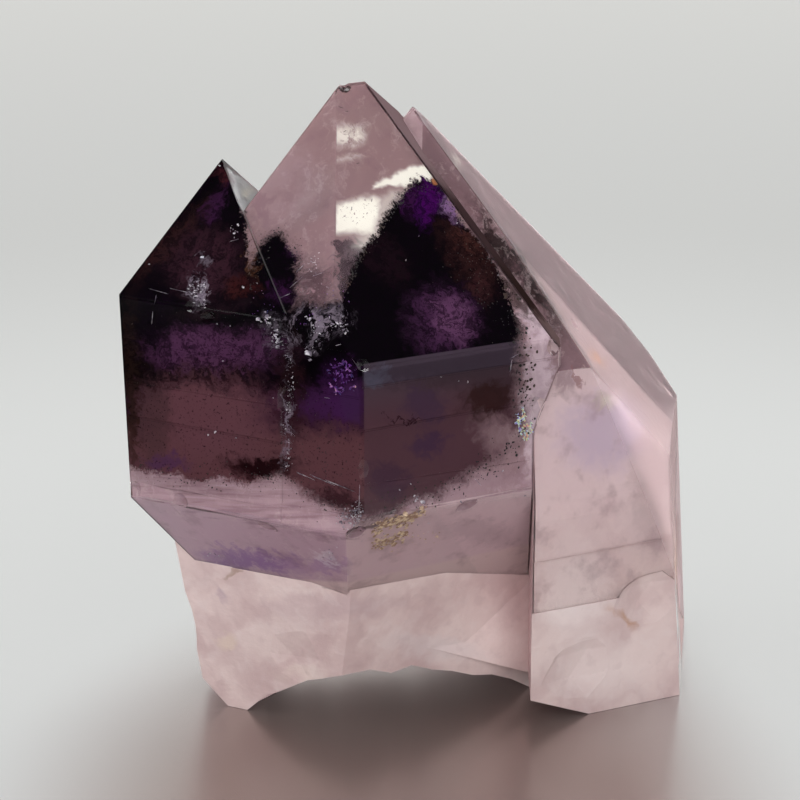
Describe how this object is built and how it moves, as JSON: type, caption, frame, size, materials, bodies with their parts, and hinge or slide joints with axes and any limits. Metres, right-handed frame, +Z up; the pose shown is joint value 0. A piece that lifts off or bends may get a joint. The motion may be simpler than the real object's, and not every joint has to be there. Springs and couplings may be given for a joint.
{
  "type": "amethyst crystal cluster",
  "caption": "Natural amethyst specimen: pointed quartz crystals grown into each other, with dark smoky and violet phantoms inside, broken off at the base and resting on it.",
  "frame": {"origin": "below the middle of the bounding box, on the surface the broken base stands on", "axes": "+Z up along the crystals' shared growth direction, the large front faces look along -Y, +X toward the broad pale crystal"},
  "size_m": [0.043, 0.039, 0.0476],
  "materials": {
    "quartz": "polished natural crystal faces, frosted where broken"
  },
  "bodies": {
    "root": {"amethyst_cluster": "quartz"}
  },
  "joints": []
}
